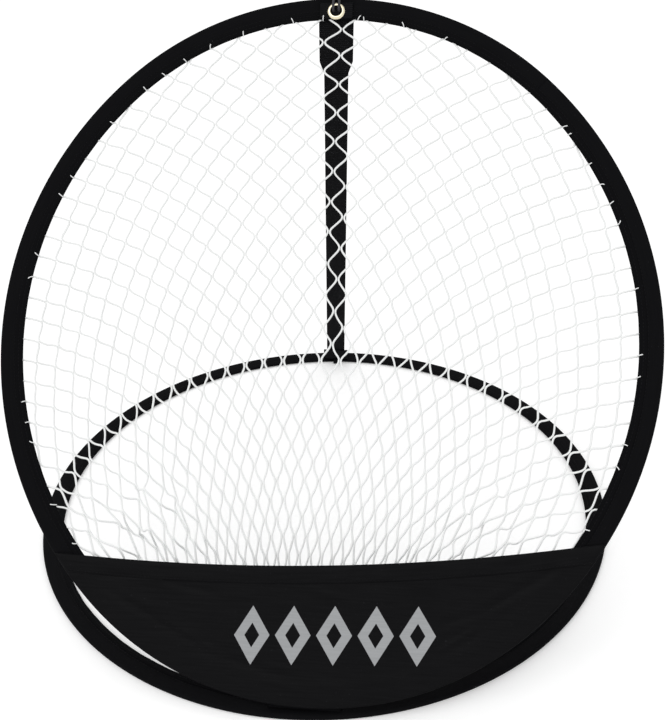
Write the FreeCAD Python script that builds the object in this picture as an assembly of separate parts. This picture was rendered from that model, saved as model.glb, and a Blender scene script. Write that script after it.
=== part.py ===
# Pop-up golf chipping net: a netted target hoop that leans back over a ground ring.
# Both hoops are loops of flat spring steel in cloth sleeves, sewn together at the front
# and held open by a webbing strap at the back. The target hoop folds down onto the ring.
# Millimetres and degrees. Origin: centre of the ground ring, on the floor.
# +Z up, the open side that a player faces is towards -Y.
import FreeCAD, Part
import math
import os

os.makedirs("parts", exist_ok=True)
Vector = FreeCAD.Vector
Rotation = FreeCAD.Rotation
Placement = FreeCAD.Placement

# Hoops
ring_diameter = 635.0        # ground ring over its sleeve, the common 25 inch size
hoop_width = 610.0           # target hoop from side to side over its sleeve
hoop_tilt = 51.0             # plane of the target hoop above the floor
hoop_yaw = -3.0              # the target hoop is sewn on slightly turned about the vertical
hinge_inset = 6.0            # hinge seam behind the ring's front edge

# Sleeve, the same on both hoops
band_width = 21.5            # sleeve and binding across the flat
sleeve_thickness = 5.6       # over the spring
cloth_thickness = 0.5        # woven polyester with its lining
edge_bevel = 1.1             # the outer edge is bevelled by this much each way
full_width = 6.0             # how far in the sleeve stays at full thickness
seam_thickness = 2.0         # the stitched inner edge of the sleeve
hollow_width = 14.0          # from the outer edge to the row of stitches
binding_width = 7.0          # tape folded over the inner edge
binding_thickness = 0.5

# Flat spring steel and the ferrule that joins its ends
spring_height = 3.6
spring_thickness = 1.2
ferrule_wall = 0.3
ferrule_play = 0.05          # between the ferrule and the sleeve's outer edge
ferrule_length = 34.0
spring_end_gap = 1.0

# Net, sewn all round the target hoop and hanging slack behind it
net_cord = 1.8
net_bar = 3.0                # width of a bar between two gaps
net_column_pitch = 26.0      # from one column of gaps to the next
net_row_pitch = 57.0         # from gap to gap down one column
net_knot_length = 9.0        # straight part where two cords lie together
net_rim = 3.0                # unbroken edge that is caught in the binding
net_sag = 48.0               # how far the net hangs behind the hoop's plane
net_sag_low = 0.55           # share by which the sag grows towards the bottom
net_smallest_gap = 90.0      # square millimetres, smaller pieces of gap stay closed
net_sections = 9

# Apron, the cloth panel across the foot of the target hoop
apron_left_height = 118.0    # top edge where it meets the sleeve, along the hoop from the hinge
apron_right_height = 146.0
apron_sag = 12.0             # how far the top edge hangs below a straight line
apron_thickness = 0.8
apron_hem = 14.5             # width of the folded top edge
apron_edge = 1.5             # the panel stops this far inside the sleeve's outer edge

# Webbing strap from the top of the target hoop to the back of the ring
strap_width = 25.0
strap_thickness = 1.5
tab_width = 34.0
tab_thickness = 1.6
top_tab_inset = 1.5          # tab's sewn end below the hoop's outer edge
top_tab_bend = 2.0           # it bends away this far below the hoop's inner edge
top_tab_drop = 56.0          # free length of the top tab along the strap
tab_taper = 14.0             # the top tab narrows to the strap's width over this length
bottom_tab_rise = 22.0       # length of the bottom tab up the strap
tail_width = 6.5             # narrow end of the bottom tab that shows inside the ring
tail_reach = 5.5
tail_height = 1.8            # middle of the tail's tip above the floor
tail_thickness = 1.0

# Eyelet and elastic closing loop at the top of the target hoop
eyelet_inset = 14.0          # eyelet's centre below the hoop's outer edge
eyelet_flange = 17.4         # outer diameter
eyelet_bore = 10.8
eyelet_wall = 0.4
eyelet_rim = 1.4             # height of the rolled rim
washer_diameter = 16.0
washer_thickness = 0.8
patch_width = 32.0           # webbing patch under the eyelet
patch_thickness = 1.4
patch_inset = 5.0            # top edge of the patch below the hoop's outer edge
patch_sink = 0.6             # the patch's face below the sleeve's, where the cloth is pressed flat
loop_cord = 2.6
loop_spacing = 5.2           # between the two strands
loop_top = 1.5               # end of the loop below the hoop's outer edge
loop_bend = 3.2
knot_diameter = 12.4         # behind the eyelet, too thick for its bore

# Hinge tape that joins the two sleeves at the front
tape_length = 64.0
tape_thickness = 0.6
tape_leaf = 11.0             # width of each of its two leaves

# Clearances
soft_gap = 0.3               # between cloth of the two hoops, and round the hinge
sewn_gap = 0.25              # lets flat webbing clear the curved sleeve that it is sewn to

# Sizes that follow
ring_radius = ring_diameter / 2
hoop_length = 2 * ring_diameter - hoop_width    # both springs are cut to one length
half_thickness = sleeve_thickness / 2
sleeve_end = band_width - binding_thickness
binding_start = band_width - binding_width
hinge_height = sleeve_thickness + tape_thickness + soft_gap + math.hypot(half_thickness, edge_bevel)
hoop_middle = hoop_length / 2
hinge_point = Vector(0, hinge_inset - ring_radius, hinge_height)
hoop_turn = Rotation(Vector(0, 0, 1), hoop_yaw) * Rotation(Vector(1, 0, 0), hoop_tilt)
hoop_place = Placement(hinge_point, hoop_turn)
hoop_across = hoop_turn.multVec(Vector(1, 0, 0))


def save(name, shape):
    """Write one named piece."""
    shape.exportStep("parts/" + name + ".step")
    print(name, len(shape.Solids), "solid", shape.isValid(), round(shape.Volume, 1), "mm3")


def polygon(points):
    return Part.makePolygon(points + [points[0]])


# Band sections. A section lies in the XZ plane; its inset is measured inwards from the
# outer edge of the hoop and its height from the hoop's own mid-plane.
def sleeve_half(inset):
    """Half the sleeve's thickness at an inset."""
    if inset <= full_width:
        return half_thickness
    taper = (inset - full_width) / (sleeve_end - full_width)
    return half_thickness + taper * (seam_thickness / 2 - half_thickness)


def band_face(radius, half_outline):
    """A section that is the same above and below, from the upper half of its outline."""
    outline = half_outline + [(inset, -height) for inset, height in reversed(half_outline)]
    return Part.Face(polygon([Vector(radius - inset, 0, height) for inset, height in outline]))


def sleeve_section(radius):
    cloth = band_face(radius, [
        (0, half_thickness - edge_bevel),
        (edge_bevel, half_thickness),
        (full_width, half_thickness),
        (sleeve_end, seam_thickness / 2),
    ])
    hollow = band_face(radius, [
        (edge_bevel, half_thickness - cloth_thickness),
        (hollow_width, sleeve_half(hollow_width) - cloth_thickness),
    ])
    return cloth.cut(hollow)


def binding_section(radius):
    return band_face(radius, [
        (sleeve_end, seam_thickness / 2),
        (binding_start, sleeve_half(binding_start)),
        (binding_start, sleeve_half(binding_start) + binding_thickness),
        (band_width, seam_thickness / 2 + binding_thickness),
    ])


def bar_section(radius, inset, thickness, height):
    """A rectangle, such as the spring's section."""
    outer = radius - inset
    inner = outer - thickness
    top = height / 2
    return Part.Face(polygon([
        Vector(outer, 0, -top),
        Vector(outer, 0, top),
        Vector(inner, 0, top),
        Vector(inner, 0, -top),
    ]))


ferrule_inset = edge_bevel + ferrule_play
spring_inset = ferrule_inset + ferrule_wall


def spring_section(radius):
    return bar_section(radius, spring_inset, spring_thickness, spring_height)


def ferrule_section(radius):
    outline = bar_section(radius, ferrule_inset, spring_thickness + 2 * ferrule_wall,
                          spring_height + 2 * ferrule_wall)
    return outline.cut(spring_section(radius))


def turn(section, start, sweep):
    """Turn a section about Z, from one angle through another."""
    placed = section.Faces[0].copy()
    placed.rotate(Vector(), Vector(0, 0, 1), start)
    return placed.revolve(Vector(), Vector(0, 0, 1), sweep)


# The target hoop is an oval of four tangent arcs, so that every band on it is turned exactly.
def oval_arcs(width, length):
    """Centre, radius and start angle of the arcs of an oval that stands on the hinge."""
    shift = (length - width) / 2 / (2 - math.sqrt(2))
    end_radius = length / 2 - shift
    side_radius = width / 2 + shift
    return [
        (Vector(0, hoop_middle + shift, 0), end_radius, 45),
        (Vector(shift, hoop_middle, 0), side_radius, 135),
        (Vector(0, hoop_middle - shift, 0), end_radius, 225),
        (Vector(-shift, hoop_middle, 0), side_radius, 315),
    ]


hoop_arcs = oval_arcs(hoop_width, hoop_length)


def oval_band(section_at, gap=0.0):
    """A band round the target hoop; a gap opens it at the hinge."""
    pieces = []
    for centre, radius, start in hoop_arcs:
        spans = [(start, 90)]
        if gap and start == 225:
            half_gap = math.degrees(gap / 2 / radius)
            spans = [(start, 45 - half_gap), (270 + half_gap, 45 - half_gap)]
        for first, sweep in spans:
            piece = turn(section_at(radius), first, sweep)
            piece.translate(centre)
            pieces.append(piece)
    return pieces[0].fuse(pieces[1:]).removeSplitter()


def oval_face(inset):
    """The flat face inside an oval that lies an inset inside the hoop's outer edge."""
    edges = []
    for centre, radius, start in hoop_arcs:
        reach = radius - inset
        points = []
        for angle in (start, start + 45, start + 90):
            bearing = math.radians(angle)
            points.append(centre + Vector(reach * math.cos(bearing), reach * math.sin(bearing), 0))
        edges.append(Part.Arc(*points).toShape())
    return Part.Face(Part.Wire(edges))


def on_hoop(shape):
    """Move a piece from the hoop's own plane to where it stands."""
    moved = shape.copy()
    moved.Placement = hoop_place.multiply(moved.Placement)
    return moved


def mitre_offset(before, after, distance):
    """Step to the corner of a bend between two layers with these normals."""
    mitre = (before + after).normalize()
    return mitre * (distance / mitre.dot(after))


def ribbon(points, widths, thickness, across):
    """Webbing through points in a plane across its width, mitred at each bend."""
    normals = []
    for first, second in zip(points, points[1:]):
        normals.append(across.cross(second - first).normalize())
    sections = []
    for index, point in enumerate(points):
        before = normals[max(index - 1, 0)]
        after = normals[min(index, len(normals) - 1)]
        offset = mitre_offset(before, after, thickness / 2)
        side = across * (widths[index] / 2)
        corners = [point - side - offset, point + side - offset, point + side + offset,
                   point - side + offset]
        sections.append(polygon(corners))
    runs = [Part.makeLoft([first, second], True, True) for first, second in zip(sections, sections[1:])]
    return runs[0].fuse(runs[1:]) if len(runs) > 1 else runs[0]


# Ground ring
def ring_band(section):
    band = turn(section, 0, 180).fuse(turn(section, 180, 180))
    band.translate(Vector(0, 0, half_thickness))
    return band


save("ground_ring_sleeve", ring_band(sleeve_section(ring_radius)))
save("ground_ring_binding", ring_band(binding_section(ring_radius)))

ring_gap = math.degrees(spring_end_gap / ring_radius)
ring_spring = turn(spring_section(ring_radius), 90 + ring_gap / 2, 360 - ring_gap)
ring_spring.translate(Vector(0, 0, half_thickness))
save("ground_ring_spring", ring_spring)

ferrule_sweep = math.degrees(ferrule_length / ring_radius)
ring_ferrule = turn(ferrule_section(ring_radius), 90 - ferrule_sweep / 2, ferrule_sweep)
ring_ferrule.translate(Vector(0, 0, half_thickness))
save("ground_ring_ferrule", ring_ferrule)

# Target hoop, made flat in its own plane: X across, Y up from the hinge, Z out of the front
eyelet_height = hoop_length - eyelet_inset
patch_front = half_thickness - patch_sink
patch_back = patch_front - patch_thickness
barrel_radius = eyelet_bore / 2 + eyelet_wall


def disc(radius, low, high):
    """A round plate about the eyelet's axis."""
    return Part.makeCylinder(radius, high - low, Vector(0, eyelet_height, low))


def at_patch(end_inset, low, high):
    """A block under or over the patch, from its top edge to an inset."""
    corner = Vector(-patch_width / 2, hoop_length - end_inset, low)
    return Part.makeBox(patch_width, end_inset - patch_inset, high - low, corner)


barrel_hole = disc(barrel_radius, -band_width, band_width)


def press_flat(band):
    """Press a band flat under the patch and cut the eyelet's hole."""
    above = at_patch(2 * band_width, patch_back, sleeve_thickness)
    return band.cut(above).cut(barrel_hole)


hoop_binding = oval_band(binding_section)
pressed_cloth = at_patch(sleeve_end, -half_thickness, patch_back).cut(hoop_binding)
hoop_sleeve = press_flat(oval_band(sleeve_section).fuse(pressed_cloth))
save("target_hoop_sleeve", on_hoop(hoop_sleeve))
save("target_hoop_binding", on_hoop(press_flat(hoop_binding)))
save("target_hoop_spring", on_hoop(oval_band(spring_section, spring_end_gap)))

foot_centre, foot_radius, foot_start = hoop_arcs[2]
ferrule_sweep = math.degrees(ferrule_length / foot_radius)
hoop_ferrule = turn(ferrule_section(foot_radius), 270 - ferrule_sweep / 2, ferrule_sweep)
hoop_ferrule.translate(foot_centre)
save("target_hoop_ferrule", on_hoop(hoop_ferrule))

# Net: a slack sheet through arcs, trimmed to the hoop and cut into staggered six-sided gaps
net_half_width = hoop_width / 2 - band_width
net_half_length = hoop_length / 2 - band_width


def net_depth(across, up):
    """How far the net lies behind the hoop's plane, with up measured from the middle."""
    fullness = 1 - (across / net_half_width) ** 2 - (up / net_half_length) ** 2
    return net_sag * fullness * (1 - net_sag_low * up / net_half_length)


reach_across = net_half_width + net_rim
reach_up = net_half_length + net_rim
ribs = []
for index in range(net_sections):
    up = reach_up * (2 * index / (net_sections - 1) - 1)
    side = -net_depth(reach_across, up)
    ribs.append(Part.Wire(Part.Arc(
        Vector(-reach_across, hoop_middle + up, side),
        Vector(0, hoop_middle + up, -net_depth(0, up)),
        Vector(reach_across, hoop_middle + up, side),
    ).toShape()))
net_face = Part.makeLoft(ribs, False, False)
net_face.translate(Vector(0, 0, -net_cord / 2))
net_sheet = net_face.extrude(Vector(0, 0, net_cord))
if net_sheet.ShapeType != "Solid":
    net_sheet = net_sheet.Solids[0]


def through_net(face):
    """A prism from a flat face through the whole depth of the net."""
    low = face.copy()
    low.translate(Vector(0, 0, -2 * net_sag))
    return low.extrude(Vector(0, 0, 3 * net_sag))


net = net_sheet.common(through_net(oval_face(band_width)))
knot_end = net_knot_length / 2
cell_top = net_row_pitch / 2 - knot_end
cell = polygon([
    Vector(0, cell_top, 0),
    Vector(-net_column_pitch, knot_end, 0),
    Vector(-net_column_pitch, -knot_end, 0),
    Vector(0, -cell_top, 0),
    Vector(net_column_pitch, -knot_end, 0),
    Vector(net_column_pitch, knot_end, 0),
])
cell_gap = Part.Face(cell).makeOffset2D(-net_bar / 2)
open_area = oval_face(band_width + net_rim)
columns = math.ceil(hoop_width / 2 / net_column_pitch)
rows = math.ceil(hoop_length / 2 / net_row_pitch)
gaps = []
for column in range(-columns, columns + 1):
    for row in range(-rows, rows + 1):
        up = hoop_middle + (row + 0.5 * (column % 2)) * net_row_pitch
        gap = cell_gap.copy()
        gap.translate(Vector(column * net_column_pitch, up, 0))
        for piece in gap.common(open_area).Faces:
            if piece.Area > net_smallest_gap:
                gaps.append(through_net(piece))
net = net.cut(Part.makeCompound(gaps))
print("gaps in the net", len(gaps))
save("net", on_hoop(net))

# Apron: it covers the foot of the hoop and is sewn to the front of the sleeve
apron_back = half_thickness
apron_front = apron_back + apron_thickness


def sleeve_reach(height):
    """Distance from the middle to the sleeve's inner edge at a height on the hoop."""
    rise = (height - hoop_middle) / net_half_length
    return net_half_width * math.sqrt(1 - rise ** 2)


left_corner = Vector(-sleeve_reach(apron_left_height), apron_left_height, 0)
right_corner = Vector(sleeve_reach(apron_right_height), apron_right_height, 0)
middle = (left_corner + right_corner) * 0.5 - Vector(0, apron_sag, 0)
top_edge = Part.Arc(left_corner, middle, right_corner).toShape().Curve


def below_top_edge(drop, low, high):
    """The part of the hoop's foot under the apron's top edge, lowered by a drop."""
    circle = Part.makeCylinder(top_edge.Radius, high - low,
                               top_edge.Center + Vector(0, -drop, low))
    foot = oval_face(apron_edge)
    foot.translate(Vector(0, 0, low))
    foot = foot.extrude(Vector(0, 0, high - low))
    limit = Part.makeBox(hoop_width, hoop_middle, high - low, Vector(-hoop_width / 2, 0, low))
    return foot.common(limit).cut(circle)


apron = below_top_edge(0, apron_back, apron_front)
hem = below_top_edge(0, apron_front, apron_front + apron_thickness)
hem = hem.cut(below_top_edge(apron_hem, apron_front, apron_front + apron_thickness))
save("apron", on_hoop(apron.fuse(hem)))

# Eyelet with its patch and washer
tab_back = -half_thickness - tab_thickness
washer_back = tab_back - washer_thickness
barrel_back = washer_back - eyelet_wall
bore_radius = eyelet_bore / 2
flange_radius = eyelet_flange / 2
lip_radius = barrel_radius + 3 * eyelet_wall

save("eyelet_patch", on_hoop(at_patch(band_width, patch_back, patch_front).cut(barrel_hole)))

rim_bevel = (flange_radius - bore_radius) / 3
eyelet_outline = [
    Vector(flange_radius, 0, patch_front),
    Vector(barrel_radius, 0, patch_front),
    Vector(barrel_radius, 0, washer_back),
    Vector(lip_radius, 0, washer_back),
    Vector(lip_radius, 0, barrel_back),
    Vector(bore_radius, 0, barrel_back),
    Vector(bore_radius, 0, patch_front + eyelet_rim - rim_bevel),
    Vector(bore_radius + rim_bevel, 0, patch_front + eyelet_rim),
    Vector(flange_radius - rim_bevel, 0, patch_front + eyelet_rim),
]
eyelet = turn(Part.Face(polygon(eyelet_outline)), 0, 360)
eyelet.translate(Vector(0, eyelet_height, 0))
save("eyelet", on_hoop(eyelet))

washer = disc(washer_diameter / 2, washer_back, tab_back).cut(barrel_hole)
save("eyelet_washer", on_hoop(washer))

# Closing loop: elastic cord out of the eyelet and up to the hoop's edge, knotted behind.
# It is made about the eyelet's centre.
half_spacing = loop_spacing / 2
loop_front = patch_front + eyelet_rim + loop_cord / 2 + soft_gap
knot_radius = knot_diameter / 2
knot_height = barrel_back - math.sqrt(knot_radius ** 2 - bore_radius ** 2)
bight_top = eyelet_inset - loop_top - loop_cord / 2
bight_corner = 0.6 * half_spacing
strand = [
    Vector(half_spacing, 0, knot_height),
    Vector(half_spacing, 0, loop_front - loop_bend),
    Vector(half_spacing, loop_bend, loop_front),
    Vector(half_spacing, bight_top - bight_corner, loop_front),
    Vector(half_spacing - bight_corner, bight_top, loop_front),
]
loop_points = strand + [Vector(-point.x, point.y, point.z) for point in reversed(strand)]
cord_section = Part.Wire(Part.makeCircle(loop_cord / 2, strand[0], Vector(0, 0, 1)))
mitred = 1
closing_loop = Part.makePolygon(loop_points).makePipeShell([cord_section], True, False, mitred)
knot = Part.makeSphere(knot_radius)
knot.rotate(Vector(), Vector(0, 0, 1), 90)    # turns the ball's seam away from the two strands
knot.translate(Vector(0, 0, knot_height))
closing_loop = closing_loop.fuse(knot)
closing_loop.translate(Vector(0, eyelet_height, 0))
save("closing_loop", on_hoop(closing_loop))

# Strap. Its two tabs lie in one plane along its front, each bent onto its own hoop.
def on_ring_top(inset, lift):
    """A point over the back of the ring's sleeve and binding."""
    height = half_thickness + sleeve_half(inset) + binding_thickness + sewn_gap + lift
    return Vector(0, ring_radius - inset, height)


tab_middle = -half_thickness - tab_thickness / 2
top_end = hoop_place.multVec(Vector(0, hoop_length - top_tab_inset, tab_middle))
top_bend = hoop_place.multVec(Vector(0, hoop_length - band_width - top_tab_bend, tab_middle))
bottom_end = on_ring_top(full_width, tab_thickness / 2)
bottom_bend = on_ring_top(sleeve_end, tab_thickness / 2)
run = (bottom_bend - top_bend).normalize()

top_tab = ribbon(
    [top_end, top_bend, top_bend + run * (top_tab_drop - tab_taper), top_bend + run * top_tab_drop],
    [tab_width, tab_width, tab_width, strap_width],
    tab_thickness,
    hoop_across,
)
save("strap_top_tab", top_tab.cut(on_hoop(barrel_hole)))

bottom_tab = ribbon(
    [bottom_end, bottom_bend, bottom_bend - run * bottom_tab_rise],
    [tab_width] * 3,
    tab_thickness,
    hoop_across,
)
tail_tip = Vector(0, ring_radius - band_width - tail_reach, tail_height)
tail = ribbon([bottom_bend, tail_tip], [tail_width] * 2, tail_thickness, hoop_across)
save("strap_bottom_tab", bottom_tab.fuse(tail).removeSplitter())

# The strap lies on the back of both tabs, and its foot on top of the bottom tab's
layer = (tab_thickness + strap_thickness) / 2
foot_run = (bottom_end - bottom_bend).normalize()
strap_bend = bottom_bend + mitre_offset(hoop_across.cross(run), hoop_across.cross(foot_run), layer)
strap_top = strap_bend - run * ((bottom_bend - top_bend).Length - band_width)
strap_foot = strap_bend + foot_run * ((bottom_end - bottom_bend).Length - strap_thickness)
rear_strap = ribbon([strap_top, strap_bend, strap_foot], [strap_width] * 3, strap_thickness, hoop_across)
save("rear_strap", rear_strap)
print("strap between the hoops", round((bottom_bend - top_bend).Length, 1), "mm")

# Hinge tape behind the foot of the target hoop: one leaf on the ring's sleeve, one on the hoop's back
tape_depth = -half_thickness - soft_gap - tape_thickness / 2
leaf_foot = hoop_place.multVec(Vector(0, 0, tape_depth))
leaf_up = hoop_turn.multVec(Vector(0, 1, 0))
leaf_level = sleeve_thickness + tape_thickness / 2
tape_fold = leaf_foot + leaf_up * ((leaf_level - leaf_foot.z) / leaf_up.z)
level_run = Vector(0, 0, 1).cross(hoop_across).normalize()
tape_points = [tape_fold + level_run * tape_leaf, tape_fold, tape_fold + leaf_up * tape_leaf]
hinge_tape = ribbon(tape_points, [tape_length] * 3, tape_thickness, hoop_across)
save("hinge_tape", hinge_tape)
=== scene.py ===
import math
import random

import bmesh
import bpy
from mathutils import Matrix, Vector, noise


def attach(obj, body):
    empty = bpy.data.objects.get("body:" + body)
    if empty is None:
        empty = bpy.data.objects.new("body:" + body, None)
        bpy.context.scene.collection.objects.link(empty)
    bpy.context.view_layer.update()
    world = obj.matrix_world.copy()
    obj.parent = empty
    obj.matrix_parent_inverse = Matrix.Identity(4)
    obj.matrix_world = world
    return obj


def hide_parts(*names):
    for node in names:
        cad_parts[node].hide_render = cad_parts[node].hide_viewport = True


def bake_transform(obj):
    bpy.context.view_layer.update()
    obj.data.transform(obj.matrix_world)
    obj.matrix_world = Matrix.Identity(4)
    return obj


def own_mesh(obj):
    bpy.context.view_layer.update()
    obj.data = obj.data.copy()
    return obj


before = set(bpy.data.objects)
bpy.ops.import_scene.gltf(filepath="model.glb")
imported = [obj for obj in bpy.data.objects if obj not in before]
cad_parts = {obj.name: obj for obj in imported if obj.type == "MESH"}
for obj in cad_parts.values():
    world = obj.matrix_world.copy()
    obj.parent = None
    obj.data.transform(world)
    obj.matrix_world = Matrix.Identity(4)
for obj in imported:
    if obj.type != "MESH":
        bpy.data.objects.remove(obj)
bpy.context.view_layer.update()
random.seed(11)
print("frame loaded:", len(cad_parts), "nodes")

# Sizes that the part has, in metres. The hoop's own plane: X across, Y up from the hinge, Z out of the front.
hoop = {"width": 0.610, "length": 0.660, "hinge": (0, -0.3115, 0.00950832), "lean": 51, "turn": -3,
        "fold": 50.3}
groundRing = {"radius": 0.3175, "middle": 0.0028}
band = {"width": 0.0215, "seam": 0.0210, "half": 0.0028, "seamHalf": 0.001, "evenTo": 0.006}



def turned(degrees, axis):
    return Matrix.Rotation(math.radians(degrees), 4, axis)


def clamped(share):
    return min(1, max(0, share))


hoopPlace = Matrix.Translation(hoop["hinge"]) @ turned(hoop["turn"], "Z") @ turned(hoop["lean"], "X")
ringPlace = Matrix.Translation((0, 0, groundRing["middle"]))
acrossHoop = hoopPlace.to_3x3() @ Vector((1, 0, 0))
hoopMiddle = hoop["length"] / 2
ovalShift = (hoop["length"] - hoop["width"]) / 2 / (2 - math.sqrt(2))
endRadius = hoopMiddle - ovalShift
sideRadius = hoop["width"] / 2 + ovalShift
hoopArcs = [  # centre, radius, start angle, sweep
    (Vector((0, hoopMiddle + ovalShift, 0)), endRadius, 45, 90),
    (Vector((ovalShift, hoopMiddle, 0)), sideRadius, 135, 90),
    (Vector((0, hoopMiddle - ovalShift, 0)), endRadius, 225, 90),
    (Vector((-ovalShift, hoopMiddle, 0)), sideRadius, 315, 90),
]
ringArcs = [(Vector((0, 0, 0)), groundRing["radius"], 0, 360)]


# Helpers for pieces
def addObject(name, data):
    made = bpy.data.objects.new(name, data)
    bpy.context.scene.collection.objects.link(made)
    return made


def makePiece(name, bm, place=None, smooth=True):
    if place is not None:
        bm.transform(place)
    mesh = bpy.data.meshes.new(name)
    bm.to_mesh(mesh)
    bm.free()
    mesh.polygons.foreach_set("use_smooth", [smooth] * len(mesh.polygons))
    return addObject(name, mesh)


def addWall(piece, thick, offset):
    wall = piece.modifiers.new("wall", "SOLIDIFY")
    wall.thickness = thick
    wall.offset = offset


def newCurve(name, **settings):
    curve = bpy.data.curves.new(name, "CURVE")
    curve.dimensions = "3D"
    for label, value in settings.items():
        setattr(curve, label, value)
    return curve


def laySpline(curve, places, radii):
    spline = curve.splines.new("NURBS")
    spline.points.add(len(places) - 1)
    for point, place, radius in zip(spline.points, places, radii):
        point.co = (*place, 1)
        point.radius = radius
    spline.order_u = 3  # set after the points, or it stays at 2
    spline.use_endpoint_u = True


def bakedMesh(piece):
    bpy.context.view_layer.update()
    return bpy.data.meshes.new_from_object(piece.evaluated_get(bpy.context.evaluated_depsgraph_get()))


def setMaterial(piece, material):
    piece.data.materials.clear()
    piece.data.materials.append(material)


def newGrid(columns, rows):
    bm = bmesh.new()
    bmesh.ops.create_grid(bm, x_segments=columns, y_segments=rows, size=0.5)
    return bm


def layChart(bm, place):
    layer = bm.loops.layers.uv.new("cloth")
    for face in bm.faces:
        for loop in face.loops:
            loop[layer].uv = place(loop.vert)


def lastWhere(holds, good, bad, halvings=40):
    # The last value on the way from a good to a bad one where something still holds.
    for halving in range(halvings):
        middle = (good + bad) / 2
        if holds(middle):
            good = middle
        else:
            bad = middle
    return good


def alongBand(point, arcs):
    # How far round a band a point lies, how far inside its outer edge, and which way is out.
    travelled = 0
    best = None
    for centre, radius, start, sweep in arcs:
        away = Vector((point.x - centre.x, point.y - centre.y, 0))
        angle = (math.degrees(math.atan2(away.y, away.x)) - start + 0.001) % 360
        if angle <= sweep + 0.01:
            best = (travelled + math.radians(angle) * radius, radius - away.length, away.normalized())
            break
        travelled += math.radians(sweep) * radius
    return best


def bandLength(arcs):
    return sum(math.radians(sweep) * radius for centre, radius, start, sweep in arcs)


def spinBand(outline, arcs, steps, closed):
    # Turn an outline of (inset, height) round every arc in turn.
    bm = bmesh.new()
    centre, radius, start, sweep = arcs[0]
    turn = Matrix.Rotation(math.radians(start), 3, "Z")
    section = [bm.verts.new(centre + turn @ Vector((radius - inset, 0, height))) for inset, height in outline]
    edges = [bm.edges.new((a, b)) for a, b in zip(section, section[1:] + section[:1] * closed)]
    last = section + edges
    for centre, radius, start, sweep in arcs:
        spun = bmesh.ops.spin(bm, geom=last, cent=centre, axis=(0, 0, 1), dvec=(0, 0, 0),
                              angle=math.radians(sweep), steps=steps * sweep // 90, use_duplicate=False)
        last = spun["geom_last"]
    bmesh.ops.remove_doubles(bm, verts=bm.verts, dist=1e-6)
    bmesh.ops.recalc_face_normals(bm, faces=bm.faces)
    return bm


def bandCoordinates(bm, arcs):
    # UV in metres: round the band, and inwards from its outer edge.
    layer = bm.loops.layers.uv.new("cloth")
    whole = bandLength(arcs)
    for face in bm.faces:
        middle = alongBand(face.calc_center_median(), arcs)[0]
        for loop in face.loops:
            along, inset, out = alongBand(loop.vert.co, arcs)
            if along - middle > whole / 2:
                along -= whole
            elif middle - along > whole / 2:
                along += whole
            loop[layer].uv = (along, inset)


# Materials
def newGroup(name, values, results):
    group = bpy.data.node_groups.new(name, "ShaderNodeTree")
    group.interface.new_socket("Coordinate", in_out="INPUT", socket_type="NodeSocketVector")
    for label, value in values.items():
        socket = group.interface.new_socket(label, in_out="INPUT", socket_type="NodeSocketFloat")
        socket.default_value = value
    for label in results:
        group.interface.new_socket(label, in_out="OUTPUT", socket_type="NodeSocketFloat")
    return group, group.nodes.new("NodeGroupInput"), group.nodes.new("NodeGroupOutput")


def mathNode(tree, operation, first, second=None, third=None):
    node = tree.nodes.new("ShaderNodeMath")
    node.operation = operation
    for index, value in enumerate((first, second, third)):
        if value is None:
            continue
        if isinstance(value, (int, float)):
            node.inputs[index].default_value = value
        else:
            tree.links.new(value, node.inputs[index])
    return node.outputs[0]


def noiseNode(tree, coordinate, scale, detail=2.0):
    node = tree.nodes.new("ShaderNodeTexNoise")
    node.inputs["Scale"].default_value = scale
    node.inputs["Detail"].default_value = detail
    tree.links.new(coordinate, node.inputs["Vector"])
    return node.outputs["Fac"]


def mappingNode(tree, coordinate, scale):
    node = tree.nodes.new("ShaderNodeMapping")
    node.inputs["Scale"].default_value = scale
    tree.links.new(coordinate, node.inputs["Vector"])
    return node.outputs["Vector"]


def buildWeave():
    # Over and under threads on a coordinate in metres, with slubs and lint. The slub streaks are paler as
    # well as glossier: random slub tone, plus painted sheen in their paler colour.
    group, source, sink = newGroup("plainWeave", {"Threads": 2200.0, "Slub": 0.4},
                                   ("Height", "Shade", "Lint"))
    split = group.nodes.new("ShaderNodeSeparateXYZ")
    group.links.new(source.outputs["Coordinate"], split.inputs[0])
    turns = mathNode(group, "MULTIPLY", source.outputs["Threads"], math.pi)
    warp = mathNode(group, "SINE", mathNode(group, "MULTIPLY", split.outputs["X"], turns))
    weft = mathNode(group, "SINE", mathNode(group, "MULTIPLY", split.outputs["Y"], turns))
    crossing = mathNode(group, "MULTIPLY_ADD", mathNode(group, "MULTIPLY", warp, weft), 0.5, 0.5)
    # Stretched noise makes the slub streaks; their paler colour is partly painted sheen.
    slubAndSheenStreak = noiseNode(group, mappingNode(group, source.outputs["Coordinate"], (26, 620, 1)), 1.0, 3.0)
    uneven = mathNode(group, "MULTIPLY", slubAndSheenStreak, source.outputs["Slub"])
    height = mathNode(group, "ADD", crossing, uneven)
    group.links.new(height, sink.inputs["Height"])
    group.links.new(mathNode(group, "MULTIPLY_ADD", crossing, 0.35, uneven), sink.inputs["Shade"])
    specks = noiseNode(group, source.outputs["Coordinate"], 420.0, 4.0)
    group.links.new(mathNode(group, "SMOOTH_MIN", mathNode(group, "MULTIPLY", mathNode(
        group, "GREATER_THAN", specks, 0.71), specks), 0.6, 0.1), sink.inputs["Lint"])
    return group


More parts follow.
